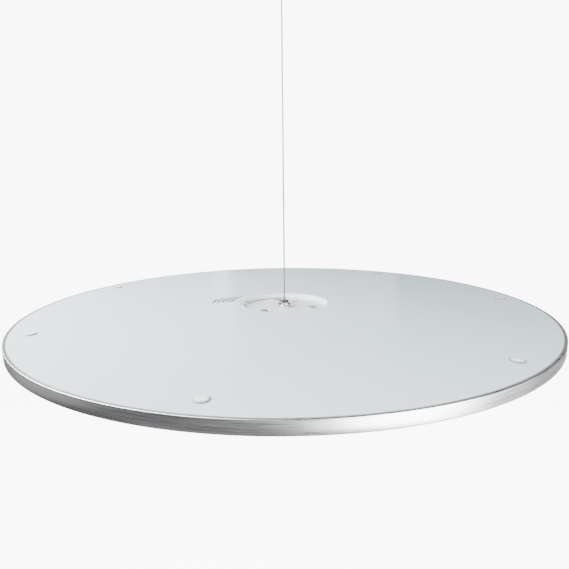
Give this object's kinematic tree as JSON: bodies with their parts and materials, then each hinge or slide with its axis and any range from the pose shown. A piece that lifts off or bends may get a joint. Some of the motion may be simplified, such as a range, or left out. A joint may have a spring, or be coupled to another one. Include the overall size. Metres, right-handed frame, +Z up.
{
  "type": "round pendant light",
  "caption": "Slim round disc pendant light hung level at its centre from one wire, with a recessed swivel fitting, edge-lit panel and round ceiling canopy.",
  "frame": {"origin": "centre of the ceiling plate's top face, where the light is fastened to the ceiling", "axes": "+Z up, out of the ceiling plate and along the wire; +X to the right and +Y away, seen from the front"},
  "size_m": [0.6, 0.6, 0.4208],
  "materials": {
    "rim_aluminium": "satin anodised, fine grain along the band",
    "top_glass": "glossy, white backed",
    "white_enamel": "semi-gloss white",
    "white_nylon": "matt white",
    "reflector_film": "matt white film",
    "clear_acrylic": "polished clear",
    "opal_acrylic": "opal, fine satin",
    "led_board": "white solder mask",
    "zinc_steel": "zinc plated",
    "wire_steel": "stranded steel",
    "bright_nickel": "bright nickel plate",
    "dark_nickel": "black nickel plate",
    "contact_bronze": "spring bronze",
    "red_lead": "lead insulation",
    "black_lead": "lead insulation",
    "black_plastic": "moulded, fine texture"
  },
  "bodies": {
    "canopy": {"ceiling_plate": "zinc_steel", "hanger_bridge": "zinc_steel", "canopy_cover": "white_enamel", "canopy_screw_1": "zinc_steel", "canopy_screw_2": "zinc_steel", "driver_case": "black_plastic", "driver_lid": "black_plastic", "driver_board": "led_board", "mains_terminal": "white_nylon", "driver_lead_positive": "red_lead", "driver_lead_negative": "black_lead", "gripper_body": "bright_nickel", "gripper_cap": "bright_nickel", "gripper_nut_upper": "zinc_steel", "gripper_nut_lower": "bright_nickel", "sleeve_spring": "zinc_steel"},
    "sleeve": {"release_sleeve": "dark_nickel"},
    "upper_ball": {"upper_ball": "wire_steel"},
    "wire": {"suspension_wire": "wire_steel"},
    "lower_ball": {"lower_ball": "wire_steel"},
    "swivel": {"swivel_socket": "bright_nickel", "swivel_cap": "dark_nickel", "swivel_nut": "bright_nickel", "grub_screw_left": "dark_nickel", "grub_screw_right": "dark_nickel"},
    "disc": {"rim_ring": "rim_aluminium", "top_glass": "top_glass", "cap_screw_1": "white_enamel", "cap_screw_2": "white_enamel", "cap_screw_3": "white_enamel", "cap_screw_4": "white_enamel", "cap_screw_5": "white_enamel", "cap_screw_6": "white_enamel", "cap_screw_7": "white_enamel", "screw_sleeve_1": "white_nylon", "screw_sleeve_2": "white_nylon", "screw_sleeve_3": "white_nylon", "screw_sleeve_4": "white_nylon", "screw_sleeve_5": "white_nylon", "screw_sleeve_6": "white_nylon", "screw_sleeve_7": "white_nylon", "reflector_sheet": "reflector_film", "light_guide": "clear_acrylic", "diffuser": "opal_acrylic", "retaining_ring": "rim_aluminium", "led_strip": "led_board", "recess_cup": "white_enamel", "centre_cap": "rim_aluminium", "hub_screw_1": "zinc_steel", "hub_screw_2": "zinc_steel", "hub_screw_3": "zinc_steel", "swivel_washer": "white_nylon", "terminal_block": "white_nylon", "contact_leaf_left": "contact_bronze", "contact_leaf_right": "contact_bronze", "lead_positive": "red_lead", "lead_negative": "black_lead", "feed_ribbon": "led_board"}
  },
  "joints": [
    {"name": "sleeve_press", "type": "slide", "parent": "canopy", "child": "sleeve", "axis": [0, 0, 1], "range_m": [0, 0.002], "stiffness_N_per_m": 400, "springref_m": -0.002, "deforming": ["sleeve_spring"]},
    {"name": "wire_swing_x", "type": "hinge", "parent": "canopy", "child": "upper_ball", "pos_m": [0, 0, -0.036], "axis": [1, 0, 0], "range_deg": [-8, 8]},
    {"name": "wire_swing_y", "type": "hinge", "parent": "upper_ball", "child": "wire", "pos_m": [0, 0, -0.036], "axis": [0, 1, 0], "range_deg": [-8, 8]},
    {"name": "disc_tilt_x", "type": "hinge", "parent": "wire", "child": "lower_ball", "pos_m": [0, 0, -0.4126], "axis": [1, 0, 0], "range_deg": [-6, 6]},
    {"name": "disc_tilt_y", "type": "hinge", "parent": "lower_ball", "child": "swivel", "pos_m": [0, 0, -0.4126], "axis": [0, 1, 0], "range_deg": [-6, 6]},
    {"name": "disc_spin", "type": "hinge", "parent": "swivel", "child": "disc", "pos_m": [0, 0, -0.4126], "axis": [0, 0, 1], "continuous": true}
  ]
}
